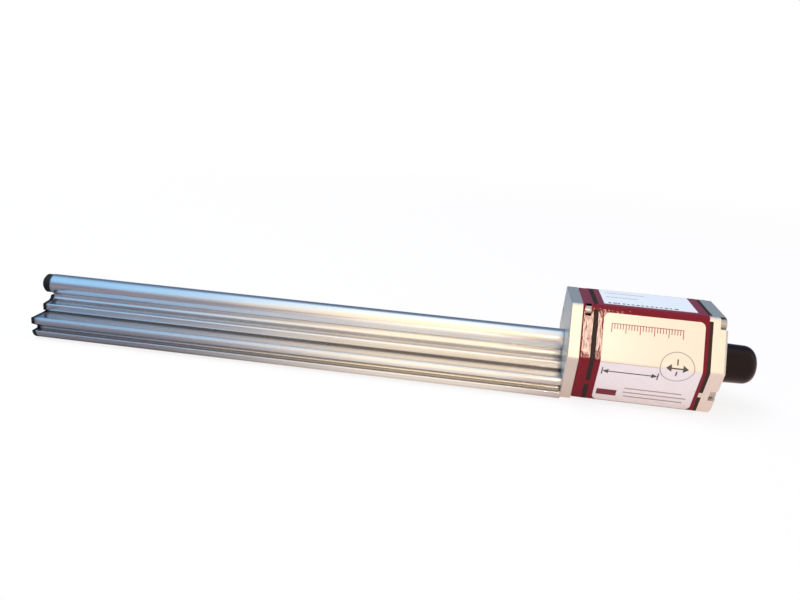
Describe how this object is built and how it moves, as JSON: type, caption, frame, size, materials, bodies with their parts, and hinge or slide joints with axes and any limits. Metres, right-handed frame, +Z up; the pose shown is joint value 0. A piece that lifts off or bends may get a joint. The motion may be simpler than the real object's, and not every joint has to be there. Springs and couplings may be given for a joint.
{
  "type": "magnetostrictive position sensor",
  "caption": "Profile-style linear position sensor: extruded rail with an element tube and clamp grooves, six-sided electronics head and a round connector under a rubber cap.",
  "frame": {"origin": "on the profile's base plane, at the mouth of the base slot, where the profile meets the flange of the head", "axes": "+X along the sensing axis towards the connector, +Z up from the base, Y across the profile; the long way is X"},
  "size_m": [0.356, 0.0502, 0.0474],
  "materials": {
    "anodised_profile": "satin anodised extrusion",
    "machined_aluminium": "fine machined and anodised",
    "red_coating": "satin red coating",
    "gasket_rubber": "matt black rubber",
    "cap_rubber": "smooth glossy black rubber",
    "black_plastic": "moulded black",
    "grey_plastic": "moulded dark grey",
    "screw_steel": "plain stainless",
    "label_film": "satin printed film",
    "plated_brass": "nickel plated",
    "contact_gold": "gold plated",
    "circuit_board": "green solder resist",
    "component_black": "moulded black",
    "coil_copper": "enamelled winding",
    "magnet_grey": "sintered",
    "wire_metal": "drawn",
    "damper_rubber": "soft",
    "flat_cable": "grey ribbon"
  },
  "bodies": {
    "sensor": {"profile": "anodised_profile", "tube_end_cap": "black_plastic", "profile_end_plate": "black_plastic", "end_plate_screws": "screw_steel", "mounting_flange": "machined_aluminium", "flange_screws": "screw_steel", "profile_screws": "screw_steel", "front_cap": "red_coating", "front_cap_screws": "screw_steel", "front_lower_screws": "screw_steel", "front_gasket": "gasket_rubber", "housing": "red_coating", "rear_gasket": "gasket_rubber", "rear_cap": "machined_aluminium", "rear_cap_screws": "screw_steel", "front_label": "label_film", "top_label": "label_film", "connector_shell": "plated_brass", "connector_seal": "gasket_rubber", "connector_nut": "plated_brass", "connector_insert": "black_plastic", "connector_pins": "contact_gold", "connector_board": "circuit_board", "waveguide_wire": "wire_metal", "guide_tube": "black_plastic", "return_wire": "wire_metal", "element_spacers": "grey_plastic", "tip_damper": "damper_rubber", "entry_bushing": "grey_plastic", "carrier": "grey_plastic", "carrier_screws": "screw_steel", "main_board": "circuit_board", "board_screws": "screw_steel", "board_components": "component_black", "pickup_housing": "grey_plastic", "pickup_coil": "coil_copper", "bias_magnet": "magnet_grey", "root_damper": "damper_rubber", "ribbon_cable": "flat_cable"},
    "dust_cap": {"dust_cap": "cap_rubber"}
  },
  "joints": [
    {"name": "dust_cap_slide", "type": "slide", "parent": "sensor", "child": "dust_cap", "axis": [1, 0, 0], "range_m": [0, 0.02]}
  ]
}
